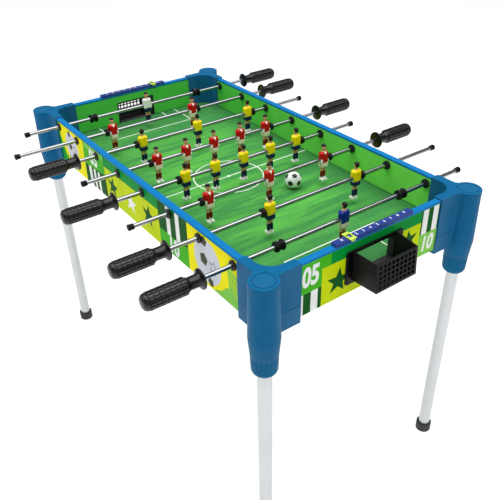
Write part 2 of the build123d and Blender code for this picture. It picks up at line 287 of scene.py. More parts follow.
def setFinish(piece, *names):
    piece.data.materials.clear()
    for name in names:
        piece.data.materials.append(finishes[name])


def hand(piece, body, slotName, *replaced):
    # give the finished piece to the body it moves with
    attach(piece, body)
    if replaced:
        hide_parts(*replaced)
    return piece


# colours and shader groups

def tint(code):
    # a web colour as linear red, green, blue, alpha
    channels = [int(code[i:i + 2], 16) / 255 for i in (1, 3, 5)]
    linear = [c / 12.92 if c <= 0.04045 else ((c + 0.055) / 1.055) ** 2.4 for c in channels]
    return (*linear, 1.0)


def groupSocket(tree, name, direction, kind, value=None):
    socket = tree.interface.new_socket(name=name, in_out=direction, socket_type=kind)
    if value is not None:
        socket.default_value = value


def addNode(tree, kind, **values):
    node = tree.nodes.new(kind)
    for key, value in values.items():
        setattr(node, key, value)
    return node


def feed(tree, node, places, values):
    # fill a node's inputs, each with a plain value or with another node's output
    for spot, value in zip(places, values):
        if isinstance(value, (int, float, tuple)):
            node.inputs[spot].default_value = value
        else:
            tree.links.new(value, node.inputs[spot])
    return node


def mathNode(tree, operation, first, second, clamp=False):
    node = addNode(tree, "ShaderNodeMath", operation=operation, use_clamp=clamp)
    return feed(tree, node, (0, 1), (first, second)).outputs[0]


def mixColour(tree, factor, first, second):
    node = addNode(tree, "ShaderNodeMix", data_type="RGBA")
    return feed(tree, node, (0, 6, 7), (factor, first, second)).outputs[2]


def rangeNode(tree, value, low, high, outLow, outHigh):
    node = addNode(tree, "ShaderNodeMapRange")
    return feed(tree, node, (0, 1, 2, 3, 4), (value, low, high, outLow, outHigh)).outputs[0]


def noiseNode(tree, where, scale, detail):
    node = addNode(tree, "ShaderNodeTexNoise")
    return feed(tree, node, ("Vector", "Scale", "Detail"), (where, scale, detail))


def mappingNode(tree, where, scale, rotation):
    node = addNode(tree, "ShaderNodeMapping")
    return feed(tree, node, ("Vector", "Scale", "Rotation"), (where, scale, rotation)).outputs[0]


wearAmounts = ("Patches", "Grain Size", "Scuffs", "Edge Wear", "Rough Low", "Rough High")


def makeWearGroup():
    # moulded or printed surface: soft tone patches, fine grain, scuffs and paler edges
    tree = bpy.data.node_groups.new("surfaceWear", "ShaderNodeTree")
    groupSocket(tree, "Place", "INPUT", "NodeSocketVector")
    groupSocket(tree, "Colour", "INPUT", "NodeSocketColor", (0.5, 0.5, 0.5, 1))
    for name in wearAmounts:
        groupSocket(tree, name, "INPUT", "NodeSocketFloat")
    groupSocket(tree, "Colour", "OUTPUT", "NodeSocketColor")
    groupSocket(tree, "Roughness", "OUTPUT", "NodeSocketFloat")
    groupSocket(tree, "Height", "OUTPUT", "NodeSocketFloat")
    given = addNode(tree, "NodeGroupInput")
    result = addNode(tree, "NodeGroupOutput")
    where = given.outputs["Place"]
    patches = noiseNode(tree, where, 28, 3)
    grain = noiseNode(tree, where, given.outputs["Grain Size"], 2)
    scratch = noiseNode(tree, mappingNode(tree, where, (60, 900, 240), (0.3, 0.2, 0.6)), 1, 3)
    scratchMask = rangeNode(tree, scratch.outputs[0], 0.66, 0.74, 0, 1)
    scuffAmount = mathNode(tree, "MULTIPLY", scratchMask, given.outputs["Scuffs"])
    shape = addNode(tree, "ShaderNodeNewGeometry")
    edge = rangeNode(tree, shape.outputs["Pointiness"], 0.52, 0.62, 0, 1)
    edgeBroken = mathNode(tree, "MULTIPLY", edge, grain.outputs[0])
    edgeAmount = mathNode(tree, "MULTIPLY", edgeBroken, given.outputs["Edge Wear"])
    patchShade = rangeNode(tree, patches.outputs[0], 0.35, 0.7, 0, 1)
    patchAmount = mathNode(tree, "MULTIPLY", patchShade, given.outputs["Patches"])
    dark = mixColour(tree, patchAmount, given.outputs["Colour"], (0.0, 0.0, 0.0, 1))
    pale = mathNode(tree, "ADD", scuffAmount, edgeAmount, True)
    worn = mixColour(tree, pale, dark, (0.85, 0.86, 0.86, 1))
    tree.links.new(worn, result.inputs["Colour"])
    roughLow, roughHigh = given.outputs["Rough Low"], given.outputs["Rough High"]
    rough = rangeNode(tree, patches.outputs[0], 0.3, 0.7, roughLow, roughHigh)
    tree.links.new(mathNode(tree, "ADD", rough, scuffAmount, True), result.inputs["Roughness"])
    height = mathNode(tree, "SUBTRACT", grain.outputs[0], scuffAmount)
    tree.links.new(height, result.inputs["Height"])
    return tree


wearGroup = makeWearGroup()
# what a finish has where its own settings say nothing
usualFinish = {
    "patches": 0.08,
    "grainSize": 900,
    "scuffs": 0.04,
    "edgeWear": 0.1,
    "metallic": 0,
    "coat": 0,
    "coatRoughness": 0.12,
    "specular": 0.22,
    "bump": 0.15,
    "bumpDepth": 0.0002,
}


def startMaterial(name, settings):
    look = {**usualFinish, **settings}
    material = bpy.data.materials.new(name)
    material.use_nodes = True
    tree = material.node_tree
    shader = tree.nodes["Principled BSDF"]
    coordinates = addNode(tree, "ShaderNodeTexCoord")
    wear = addNode(tree, "ShaderNodeGroup", node_tree=wearGroup)
    amounts = [look[key] for key in ("patches", "grainSize", "scuffs", "edgeWear")]
    given = (coordinates.outputs["Object"], tint(look["colour"]), *amounts, *look["roughness"])
    feed(tree, wear, ("Place", "Colour", *wearAmounts), given)
    bump = addNode(tree, "ShaderNodeBump")
    relief = (look["bump"], look["bumpDepth"], wear.outputs["Height"])
    feed(tree, bump, ("Strength", "Distance", "Height"), relief)
    for socket, key in (
        ("Metallic", "metallic"), ("Coat Weight", "coat"), ("Coat Roughness", "coatRoughness"),
        ("Specular IOR Level", "specular"),
    ):
        shader.inputs[socket].default_value = look[key]
    made = (wear.outputs["Colour"], wear.outputs["Roughness"], bump.outputs[0])
    feed(tree, shader, ("Base Color", "Roughness", "Normal"), made)
    return {"material": material, "tree": tree, "shader": shader, "where": coordinates, "wear": wear}


ink = {"roughness": (0.45, 0.55), "edgeWear": 0, "specular": 0.04}
glossPaint = {"roughness": (0.3, 0.42), "coat": 0.08}
finishSettings = {
    "casingBlue": {
        "colour": "#06608e", "roughness": (0.4, 0.5),
        "patches": 0.06, "scuffs": 0.01, "edgeWear": 0.05, "specular": 0.08,
    },
    "trimBlue": {
        "colour": "#0074b4", "roughness": (0.36, 0.46),
        "scuffs": 0.01, "edgeWear": 0.05, "specular": 0.06,
    },
    "counterBlue": {"colour": "#0b3284", "roughness": (0.3, 0.4), "specular": 0.15},
    "counterMark": {"colour": "#eef0f6", "roughness": (0.4, 0.5)},
    "counterLine": {"colour": "#1b2f80", "roughness": (0.4, 0.5)},
    "sliderLime": {"colour": "#c2e24e", "roughness": (0.3, 0.4), "coat": 0.2},
    "legSilver": {
        "colour": "#c6c8cb", "roughness": (0.26, 0.36),
        "metallic": 0.85, "patches": 0.03, "scuffs": 0.02, "specular": 0.5,
    },
    "footBlack": {"colour": "#2a2a2b", "roughness": (0.5, 0.68), "bump": 0.3},
    "goalBlack": {"colour": "#040405", "roughness": (0.26, 0.38), "edgeWear": 0.08, "specular": 0.1},
    "bushingBlack": {"colour": "#050505", "roughness": (0.35, 0.5), "edgeWear": 0.05, "specular": 0.1},
    "screwSteel": {"colour": "#9a9ca0", "roughness": (0.3, 0.45), "metallic": 1.0},
    "gripBlack": {
        "colour": "#040404", "roughness": (0.2, 0.3),
        "bump": 0.15, "edgeWear": 0.05, "specular": 0.42,
    },
    "stopBlack": {"colour": "#060606", "roughness": (0.38, 0.55), "edgeWear": 0.05, "specular": 0.14},
    "shirtRed": {"colour": "#c8000a", **glossPaint},
    "shirtYellow": {"colour": "#ffe400", **glossPaint},
    "shirtWhite": {"colour": "#f1f1ec", **glossPaint},
    "shirtBlue": {"colour": "#0c2a8c", **glossPaint},
    "navy": {"colour": "#06164a", "roughness": (0.32, 0.44), "coat": 0.2},
    "cream": {"colour": "#ece4c8", "roughness": (0.34, 0.46), "coat": 0.2},
    "sockRed": {"colour": "#820008", "roughness": (0.34, 0.46), "coat": 0.2},
    "bootWhite": {"colour": "#eff2ea", **glossPaint},
    "skin": {"colour": "#e2ab7c", "roughness": (0.36, 0.48), "coat": 0.15},
    "hair": {"colour": "#16120f", "roughness": (0.35, 0.5), "coat": 0.1},
    "cuff": {"colour": "#f0ece0", "roughness": (0.34, 0.46)},
    "ballWhite": {"colour": "#f4f5f4", "roughness": (0.25, 0.36), "coat": 0.35},
    "ballBlack": {"colour": "#161617", "roughness": (0.25, 0.36), "coat": 0.35},
    "lineWhite": {"colour": "#f2f6ee", "roughness": (0.4, 0.5), "edgeWear": 0},
    "printYellow": {"colour": "#f4ec00", **ink},
    "printLime": {"colour": "#c6da00", **ink},
    "printLeaf": {"colour": "#44b41c", **ink},
    "printPale": {"colour": "#82cc50", **ink},
    "printGreen": {"colour": "#009238", **ink},
    "printDark": {"colour": "#08561a", **ink},
    "printWhite": {"colour": "#eef1ee", **ink},
    "printGrey": {"colour": "#cfd3dc", **ink},
    "printShade": {"colour": "#4c4f3e", **ink},
    # painted shade for the crease at the foot of the walls
    "wallFootShade": {"colour": "#0a4a1c", "roughness": (0.5, 0.6), "edgeWear": 0},
    "rodSteel": {
        "colour": "#9c9ea2", "roughness": (0.1, 0.2),
        "metallic": 1.0, "patches": 0.04, "scuffs": 0.03,
    },
}
finishes = {name: startMaterial(name, settings)["material"] for name, settings in finishSettings.items()}

pitchLook = {
    "colour": "#168428",
    "light": "#48b02e",
    # the dark green is painted shade from the walls
    "dark": "#006e26",
    "roughness": (0.4, 0.52),
    "specular": 0.08,
    "wallShadeReach": (0.55, 0.98),
    "half": (0.334, 0.172),
}


def makePitchFinish():
    # printed grass: streaks that run across the table, with painted shade that darkens the field towards the
    # walls
    made = startMaterial("pitchGreen", pitchLook)
    tree, where = made["tree"], made["where"].outputs["Object"]
    mapped = mappingNode(tree, where, (70, 7, 1), (0, 0, 0.12))
    streak = noiseNode(tree, mapped, 1.0, 6)
    streak.inputs["Roughness"].default_value = 0.6
    split = feed(tree, addNode(tree, "ShaderNodeSeparateXYZ"), (0,), (where,))
    halfLength, halfWidth = pitchLook["half"]
    sideways = mathNode(tree, "DIVIDE", mathNode(tree, "ABSOLUTE", split.outputs[1], 0), halfWidth)
    lengthways = mathNode(tree, "DIVIDE", mathNode(tree, "ABSOLUTE", split.outputs[0], 0), halfLength)
    outward = mathNode(tree, "MAXIMUM", sideways, lengthways)
    # painted shade: darker towards the walls, its edge broken up by the streaks
    low, high = pitchLook["wallShadeReach"]
    wobble = mathNode(tree, "ADD", outward, rangeNode(tree, streak.outputs[0], 0.3, 0.7, -0.14, 0.14))
    wallShade = rangeNode(tree, wobble, low, high, 0, 0.85)
    streakShade = rangeNode(tree, streak.outputs[0], 0.42, 0.6, 0, 1)
    middle = mixColour(tree, streakShade, tint(pitchLook["colour"]), tint(pitchLook["light"]))
    whole = mixColour(tree, wallShade, middle, tint(pitchLook["dark"]))
    tree.links.new(whole, made["wear"].inputs["Colour"])
    return made["material"]


wallLook = {"colour": "#84f060", "low": "#52cc4c", "roughness": (0.4, 0.5), "edgeWear": 0, "specular": 0.05}


def makeWallFinish():
    # printed foil on the inner faces of the panels
    made = startMaterial("wallGreen", wallLook)
    tree = made["tree"]
    split = feed(tree, addNode(tree, "ShaderNodeSeparateXYZ"), (0,), (made["where"].outputs["Object"],))
    along = rangeNode(tree, split.outputs[0], -0.33, 0.33, 0, 1)
    colour = mixColour(tree, along, tint(wallLook["low"]), tint(wallLook["colour"]))
    tree.links.new(colour, made["wear"].inputs["Colour"])
    return made["material"]


finishes["pitchGreen"] = makePitchFinish()
finishes["wallGreen"] = makeWallFinish()
print("stage: finishes made")

# the CAD pieces that stay, with their finishes

keptFinishes = {
    "playfield": "pitchGreen",
    "side_panel": "wallGreen",
    "end_panel": "wallGreen",
    "side_trim": "trimBlue",
    "end_trim": "trimBlue",
    "corner_casing": "casingBlue",
    "leg_collar": "casingBlue",
    "leg_tubes": "legSilver",
    "foot_caps": "footBlack",
    "goal_box": "goalBlack",
    "score_bar": "counterBlue",
    "score_slider": "sliderLime",
    "rod_bushings": "bushingBlack",
    "casing_screws": "screwSteel",
}
for nodeName, node in nodes.items():
    for stem, finishName in keptFinishes.items():
        if nodeName.startswith(stem):
            setFinish(node, finishName)
    if nodeName.endswith("_tube"):
        setFinish(node, "rodSteel")

# players

figure = {
    "voxel": 0.00055,
    "faceTop": 22.4,
    "hairBack": -0.9,
    "hairLow": 17.6,
    "neckline": 13.6,
    "sleeveEnd": 1.6,
    "shirtEnd": -5.2,
    "shortsEnd": -13.4,
    "kneeEnd": -20.6,
    "sockEnd": -31.4,
}
figurePaint = ["shirt", "shorts", "skin", "socks", "boots", "hair", "cuff"]
masterPaints = ["shirtRed", "cream", "skin", "sockRed", "bootWhite", "hair", "cuff"]


def paintIndex(centre):
    # which paint a spot on the player gets, in millimetres from the rod's axis
    x, y, z = centre / millimetre
    if z > figure["neckline"]:
        if z > figure["faceTop"] or (x < figure["hairBack"] and z > figure["hairLow"]):
            return figurePaint.index("hair")
        return figurePaint.index("skin")
    if x > 2.6 and z > 8.6 and abs(y) < (z - 8.4) * 0.5:
        return figurePaint.index("cuff")
    if abs(y) > 5.5 and x > -3.2 and z < figure["sleeveEnd"] and z > -6.2:
        return figurePaint.index("cuff")
    if z > figure["shirtEnd"]:
        return figurePaint.index("shirt")
    if z > figure["shortsEnd"]:
        return figurePaint.index("shorts")
    if z > figure["kneeEnd"]:
        return figurePaint.index("skin")
    if z > figure["sockEnd"]:
        return figurePaint.index("socks")
    return figurePaint.index("boots")


def limb(name, side, start, end, startRadius, endRadius):
    # an arm or leg piece in millimetres, given for the +Y side and mirrored by side
    ends = (mm(x, side * y, z) for x, y, z in (start, end))
    return addLimb(name, *ends, mm(startRadius), mm(endRadius))


def buildFigure():
    # one player on the rod's axis, facing +X, built from rounded blocks and blended
    parts = [
        addBox("chest", mm(-5.8, -7.2, -5), mm(5.6, 7.2, 12.6), mm(2.6)),
        addBall("shoulders", mm(-0.2, 0, 9.4), mm(5.8, 9.2, 4.9)),
        addBall("belly", mm(0.6, 0, 1.0), mm(4.6, 5.4, 6.5)),
        addLimb("neck", mm(0, 0, 11), mm(0.2, 0, 17), mm(2.5), mm(2.2)),
        addBall("head", mm(0.3, 0, 20.4), mm(4.3, 3.8, 5.0)),
        addBall("hairCap", mm(-0.5, 0, 21.8), mm(4.4, 4.15, 4.1)),
        addBall("nose", mm(4.35, 0, 19.9), mm(0.8, 0.6, 0.9), 12, 8),
        addBox("shorts", mm(-5.4, -6.9, -13.6), mm(5.4, 6.9, -4.5), mm(1.8)),
        addBall("rodHub", mm(0, 0, 0), mm(4.7, 6.4, 4.9)),
    ]
    for side in (-1, 1):
        parts += [
            limb("upperArm", side, (-0.3, 6.6, 9.4), (0.2, 6.75, 2.4), 2.6, 2.5),
            limb("foreArm", side, (0.2, 6.8, 3.0), (2.4, 6.9, -2.4), 2.2, 1.9),
            addBall("hand", mm(2.8, side * 6.9, -3.2), mm(2.5, 2.2, 2.6), 16, 10),
            addBall("ear", mm(0.2, side * 3.8, 19.8), mm(0.9, 0.6, 1.3), 12, 8),
            limb("thigh", side, (0, 2.95, -11), (0.4, 2.85, -20), 2.75, 2.35),
            limb("calf", side, (0.3, 2.85, -20), (-0.2, 2.75, -26), 2.3, 2.65),
            limb("shin", side, (-0.2, 2.75, -26), (-0.2, 2.8, -33), 2.65, 2.1),
            addBox("boot", mm(-3.6, side * 3.2 - 2.7, -38.2), mm(6.6, side * 3.2 + 2.7, -33.6), mm(1.5)),
            limb("ankle", side, (-0.6, 3.0, -36), (-0.4, 2.9, -31), 2.6, 2.3),
        ]
    body = joinPieces(parts, "playerMaster")
    applyModifier(body, "REMESH", mode="VOXEL", voxel_size=figure["voxel"])
    applyModifier(body, "SMOOTH", factor=0.5, iterations=3)
    # crisp paint borders across the body
    editMode(body)
    for border in ("neckline", "sleeveEnd", "shirtEnd", "shortsEnd", "kneeEnd", "sockEnd"):
        bpy.ops.mesh.select_all(action="SELECT")
        bpy.ops.mesh.bisect(plane_co=mm(0, 0, figure[border]), plane_no=(0, 0, 1))
    objectMode()
    setFinish(body, *masterPaints)
    for face in body.data.polygons:
        face.material_index = paintIndex(face.center)
    eyes = [addBall("eye", mm(3.75, side * 1.45, 20.9), mm(0.35, 0.5, 0.42), 10, 6) for side in (-1, 1)]
    for eye in eyes:
        setFinish(eye, *masterPaints)
        for face in eye.data.polygons:
            face.material_index = figurePaint.index("hair")
    body = joinPieces([body] + eyes, "playerMaster")
    smooth(body, 60)
    return body


kits = {
    "red": {"shirt": "shirtRed", "shorts": "cream", "socks": "sockRed", "slot": "team_red"},
    "yellow": {"shirt": "shirtYellow", "shorts": "navy", "socks": "navy", "slot": "team_yellow"},
    "whiteKeeper": {"shirt": "shirtWhite", "shorts": "navy", "socks": "navy", "slot": "keeper_white"},
    "blueKeeper": {"shirt": "shirtBlue", "shorts": "cream", "socks": "sockRed", "slot": "keeper_blue"},
}
rodTeams = ["whiteKeeper", "red", "yellow", "red", "yellow", "red", "yellow", "blueKeeper"]
# 1 for the team that looks along +X and is played from the back, -1 for the other team
rodSides = {number: 1 if number in (1, 2, 4, 6) else -1 for number in range(1, 9)}
menOnRod = {1: 1, 2: 2, 3: 3, 4: 5, 5: 5, 6: 3, 7: 2, 8: 1}
menPitch = {1: 0.0, 2: 167.0, 3: 111.5, 5: 55.3}


def rodPlace(number):
    # the rod's X and the middle of its figures' Y, from the frame
    menLow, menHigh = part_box(f"rod_{number}_figures")
    barLow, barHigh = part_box(f"rod_{number}_tube")
    return (menLow.y + menHigh.y) / 2, (barLow.x + barHigh.x) / 2


playerMaster = buildFigure()
for number in range(1, 9):
    middle, rodX = rodPlace(number)
    kit = kits[rodTeams[number - 1]]
    count = menOnRod[number]
    men = []
    for index in range(count):
        y = middle + mm((index - (count - 1) / 2) * menPitch[count])
        turn = Matrix.Rotation(0 if rodSides[number] > 0 else math.pi, 4, "Z")
        move = Matrix.Translation((rodX, y, rodHeight))
        man = copyPiece(playerMaster, f"player_{number}_{index + 1}", move @ turn)
        paints = [kit["shirt"], kit["shorts"], "skin", kit["socks"], "bootWhite", "hair", "cuff"]
        for paint, finishName in enumerate(paints):
            man.data.materials[paint] = finishes[finishName]
        men.append(man)
    team = joinPieces(men, f"rod_{number}_players")
    hand(team, f"rod_{number}_spindle", kit["slot"], f"rod_{number}_figures")
discard(playerMaster)
print("stage: players placed")

# grips

grip = {
    "core": 10.3,
    "padHeight": 1.5,
    "ribs": 14,
    "rows": 7,
    "bodyStart": 23.6,
    "bodyEnd": 74.5,
    "slotWidth": 0.9,
}


def buildGrip():
    # turned grip along +Y with raised pads in rows round the body
    core, rows = grip["core"], grip["rows"]
    profile = [
        (0, 0), (12.6, 0), (13.6, 0.35), (14.0, 1.1), (13.9, 2.1), (13.1, 2.8), (10.4, 3.5), (9.2, 4.6),
        (8.7, 6.4), (8.5, 9.0), (8.5, 18.2), (8.7, 19.2), (9.4, 20.4), (9.9, 21.6), (10.2, 22.6),
        (core, 23.2),
    ]
    rowLength = (grip["bodyEnd"] - grip["bodyStart"]) / rows
    for row in range(rows):
        start = grip["bodyStart"] + row * rowLength
        profile += [(core, start), (core, start + rowLength - grip["slotWidth"])]
    profile += [
        (core, grip["bodyEnd"]), (11.1, 75.0), (11.0, 76.6), (10.0, 78.6), (8.2, 80.3), (5.4, 81.2),
        (2.5, 81.5), (0, 81.5),
    ]
    stepsPerRib = 3
    steps = grip["ribs"] * stepsPerRib
    handle = turnOnLathe("gripMaster", profile, steps)

    def isPad(face):
        along = face.center.y / millimetre
        radius = math.hypot(face.center.x, face.center.z) / millimetre
        angle = math.atan2(face.center.z, face.center.x) % (2 * math.pi)
        step = int(angle / (2 * math.pi) * steps)
        inRow = (along - grip["bodyStart"]) % rowLength < rowLength - grip["slotWidth"]
        onBody = grip["bodyStart"] < along < grip["bodyEnd"] and radius > core - 0.4
        return onBody and inRow and step % stepsPerRib != 0

    pickFaces(handle, isPad)
    bpy.ops.mesh.extrude_region_shrink_fatten(TRANSFORM_OT_shrink_fatten={"value": mm(grip["padHeight"])})
    objectMode()
    roundEdges(handle, 0.3, 2, 40)
    smooth(handle, 38)
    setFinish(handle, "gripBlack")
    return handle


gripMaster = buildGrip()
for number in range(1, 9):
    side = rodSides[number]
    low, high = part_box(f"rod_{number}_grip")
    start = low.y if side > 0 else high.y
    rodX = (low.x + high.x) / 2
    turn = Matrix.Rotation(0 if side > 0 else math.pi, 4, "Z")
    move = Matrix.Translation((rodX, start, rodHeight))
    handle = copyPiece(gripMaster, f"rod_{number}_handle", move @ turn)
    hand(handle, f"rod_{number}_spindle", "grip_black", f"rod_{number}_grip")
discard(gripMaster)
print("stage: grips placed")

# rubber stops and end caps

stop = {"offset": 12.3, "keeperOffset": 113.5, "capLength": 9.0, "screwTilt": -28.0}
stopProfile = [
    (3.3, -3), (5.9, -3), (6.4, -2.7), (6.6, -2.1), (6.6, 2.1), (6.4, 2.7), (5.9, 3), (3.3, 3), (3.3, -3),
]
spoolProfile = [
    (3.3, -7), (6.7, -7), (7.3, -6.6), (7.6, -5.8), (7.6, -3.6), (7.2, -2.9), (6.2, -2.4), (5.8, -1.6),
    (5.8, 1.6), (6.2, 2.4), (7.2, 2.9), (7.6, 3.6), (7.6, 5.8), (7.3, 6.6), (6.7, 7), (3.3, 7), (3.3, -7),
]
capProfile = [
    (3.3, 0), (4.0, 0), (4.3, 0.4), (4.4, 1.2), (4.4, 5.8), (4.9, 6.3), (4.9, 7.4), (4.4, 8.4),
    (3.2, 8.9), (0, 9), (0, 7.5), (3.3, 7.5), (3.3, 0),
]


stopMaster = turnOnLathe("stopMaster", stopProfile, 32)
spoolMaster = turnOnLathe("spoolMaster", spoolProfile, 36)
capMaster = turnOnLathe("capMaster", capProfile, 28)
for master in (stopMaster, spoolMaster, capMaster):
    smooth(master, 40)


def buildStopScrew():
    # small pan head that pinches a keeper's spool on the rod
    deselectAll()
    bpy.ops.mesh.primitive_cylinder_add(vertices=20, radius=mm(1.7), depth=mm(1.6), location=mm(0, 0, 6.2))
    head = nameNew("screwMaster")
    roundEdges(head, 0.45, 3, 30)
    smooth(head, 40)
    return head


screwMaster = buildStopScrew()
for number in range(1, 9):
    side = rodSides[number]
    middle, rodX = rodPlace(number)
    count = menOnRod[number]
    reach = stop["keeperOffset"] if count == 1 else (count - 1) / 2 * menPitch[count] + stop["offset"]
    spots = [Matrix.Translation((rodX, middle + direction * mm(reach), rodHeight)) for direction in (-1, 1)]
    pieces = [copyPiece(spoolMaster if count == 1 else stopMaster, "stop", spot) for spot in spots]
    low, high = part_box(f"rod_{number}_stops")
    capEnd = low.y if side > 0 else high.y
    capTurn = Matrix.Rotation(math.pi if side > 0 else 0, 4, "Z")
    capAt = Vector((rodX, capEnd + side * mm(stop["capLength"]), rodHeight))
    pieces.append(copyPiece(capMaster, "cap", Matrix.Translation(capAt) @ capTurn))
    stops = joinPieces(pieces, f"rod_{number}_rubber")
    setFinish(stops, "stopBlack")
    hand(stops, f"rod_{number}_carriage", "black_rubber", f"rod_{number}_stops")
    if count == 1:
        tilt = Matrix.Rotation(math.radians(stop["screwTilt"]), 4, "Y")
        heads = [copyPiece(screwMaster, "screw", spot @ tilt) for spot in spots]
        screws = joinPieces(heads, f"rod_{number}_stop_screws")
        setFinish(screws, "screwSteel")
        hand(screws, f"rod_{number}_carriage", "screw_steel")
for master in (stopMaster, spoolMaster, capMaster, screwMaster):
    discard(master)
print("stage: stops placed")

# ball

ballLook = {"turn": (0.35, 0.5, 0.2), "seam": 0.28, "rounding": 3}


def buildBall():
    # twelve dark and twenty white pads on a round ball
    low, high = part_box("ball")
    centre = (low + high) / 2
    radius = (high.z - low.z) / 2
    deselectAll()
    bpy.ops.mesh.primitive_ico_sphere_add(
        subdivisions=1, radius=radius, location=(0, 0, 0), rotation=ballLook["turn"]
    )
    ball = nameNew("football")
    editAll(ball, "VERT")
    first, second = (ball.data.vertices[index].co for index in ball.data.edges[0].vertices)
    bpy.ops.mesh.bevel(offset=(first - second).length / 3, affect="VERTICES", segments=1)
    objectMode()
    setFinish(ball, "ballWhite", "ballBlack")
    for face in ball.data.polygons:
        face.material_index = 1 if len(face.vertices) == 5 else 0
    editAll(ball)
    bpy.ops.mesh.inset(thickness=mm(ballLook["seam"]), depth=0, use_individual=True)
    objectMode()
    levels = ballLook["rounding"]
    applyModifier(ball, "SUBSURF", levels=levels, render_levels=levels, subdivision_type="SIMPLE")
    for vertex in ball.data.vertices:
        vertex.co = vertex.co.normalized() * radius
    smooth(ball, 60)
    ball.data.transform(Matrix.Translation(centre))
    return ball


hand(buildBall(), "loose_ball", "ball_white", "ball")
print("stage: ball placed")

# rail trims on the panels: a rounded cap on a thin web

rail = {
    # half width, low and high side, rounding, rounding steps and finish
    "cap": (5.35, 8.9, 13.0, 1.3, 4, "trimBlue"),
    "web": (4.92, 7.8, 10.1, 0.2, 1, "wallGreen"),
}


def buildRail(name, x, y, reachX, reachY):
    # reachX and reachY are half the rail's size along X and Y, one of them 0 for the width
    bars = []
    for half, low, high, rounding, steps, finishName in rail.values():
        spanX, spanY = reachX or half, reachY or half
        corners = (place(x - spanX, y - spanY, low), place(x + spanX, y + spanY, high))
        bars.append(addBox("railBar", *corners, mm(rounding), steps))
        setFinish(bars[-1], finishName)
    made = joinPieces(bars, name)
    smooth(made, 40)
    return made


for side, nodeName in ((-1, "side_trim_front"), (1, "side_trim_back")):
    hand(buildRail(f"rail_{nodeName}", 0, side * 177.0, 289.6, 0), "table", "trim_blue", nodeName)
for side, nodeName in ((-1, "end_trim_left"), (1, "end_trim_right")):
    hand(buildRail(f"rail_{nodeName}", side * 339.0, 0, 0, 127.1), "table", "trim_blue", nodeName)
print("stage: rails built")

# goals: frame plate, catch tray and net wall

goal = {
    "plateX": 346.4,
    "plateHalf": 52.0,
    "plateLow": -53.5,
    "plateHigh": -1.6,
    "mouthHalf": 38.0,
    "mouthHigh": -6.6,
    "floorZ": -45.9,
    "trayHalfNear": 40.3,
    "trayHalfFar": 37.4,
    "trayTopNear": -3.0,
    "trayTopFar": -5.0,
    "trayLow": -48.4,
    "farXTop": 384.6,
    "farXLow": 387.8,
    "wall": 1.7,
    "plateDepth": 2.3,
    "netDepth": 1.6,
    "netColumns": 9,
    "netRows": 5,
    "border": 3.2,
    "cord": 1.15,
    "linerNear": 332.7,
    "linerFar": 345.0,
    "linerHalf": 40.3,
    "linerTop": -4.2,
}


def buildGoalPlate():
    x, half, low, high = goal["plateX"], goal["plateHalf"], goal["plateLow"], goal["plateHigh"]
    mouth, mouthLow, mouthHigh = goal["mouthHalf"], goal["floorZ"], goal["mouthHigh"]
    plate = addFlatFrame(
        "goalPlate",
        lambda a, b: place(x, a * half, low if b < 0 else high),
        lambda a, b: place(x, a * mouth, mouthLow if b < 0 else mouthHigh),
    )
    faceAlong(plate, (1, 0, 0))
    thicken(plate, goal["plateDepth"])
    editMode(plate, "EDGE")
    bpy.ops.mesh.select_all(action="DESELECT")
    objectMode()
    for edge in plate.data.edges:
        a, b = (plate.data.vertices[i].co for i in edge.vertices)
        edge.select = abs(a.x - b.x) > mm(1) and abs(abs(a.y) - mm(half)) < mm(0.5)
    editMode(plate, "EDGE")
    bpy.ops.mesh.bevel(offset=mm(4), segments=5)
    objectMode()
    roundEdges(plate, 0.6, 3, 50)
    return plate


def buildGoalTray():
    # an open trough whose side walls draw in a little towards the net
    deselectAll()
    bpy.ops.mesh.primitive_cube_add(size=1)
    tray = nameNew("goalTray")
    for vertex in tray.data.vertices:
        far, top, side = vertex.co.x > 0, vertex.co.z > 0, math.copysign(1, vertex.co.y)
        x = (goal["farXTop"] if top else goal["farXLow"]) - 0.6 if far else goal["plateX"] - 1
        z = (goal["trayTopFar"] if far else goal["trayTopNear"]) if top else goal["trayLow"]
        vertex.co = place(x, side * (goal["trayHalfFar"] if far else goal["trayHalfNear"]), z)
    tray.data.update()
    pickFaces(tray, lambda face: abs(face.normal.x) > 0.8 or face.normal.z > 0.8)
    bpy.ops.mesh.delete(type="FACE")
    objectMode()
    thicken(tray, goal["wall"])
    roundEdges(tray, 0.7, 3, 40)
    return tray


def buildGoalNet():
    columns, rows = goal["netColumns"] + 2, goal["netRows"] + 2
    deselectAll()
    bpy.ops.mesh.primitive_grid_add(x_subdivisions=columns, y_subdivisions=rows, size=2)
    net = nameNew("goalNet")

    def spread(value, count, start, end):
        index = round((value + 1) / 2 * count)
        if index in (0, count):
            return start if index == 0 else end
        inner = (end - start - 2 * goal["border"]) / (count - 2)
        return start + goal["border"] + (index - 1) * inner

    half = goal["trayHalfFar"] + 0.2
    for vertex in net.data.vertices:
        y = spread(vertex.co.x, columns, -half, half)
        z = spread(vertex.co.y, rows, goal["trayLow"], goal["trayTopFar"])
        share = (z - goal["trayLow"]) / (goal["trayTopFar"] - goal["trayLow"])
        x = goal["farXLow"] + (goal["farXTop"] - goal["farXLow"]) * share
        vertex.co = place(x, y, z)
    net.data.update()

    def isCell(face):
        y = abs(face.center.y) / millimetre
        z = (face.center.z - rodHeight) / millimetre
        inside = goal["trayLow"] + goal["border"] < z < goal["trayTopFar"] - goal["border"]
        return y < half - goal["border"] and inside

    pickFaces(net, isCell)
    bpy.ops.mesh.inset(thickness=mm(goal["cord"]), use_individual=True)
    bpy.ops.mesh.delete(type="FACE")
    objectMode()
    faceAlong(net, (1, 0, 0))
    thicken(net, goal["netDepth"])
    roundEdges(net, 0.3, 2, 50)
    return net


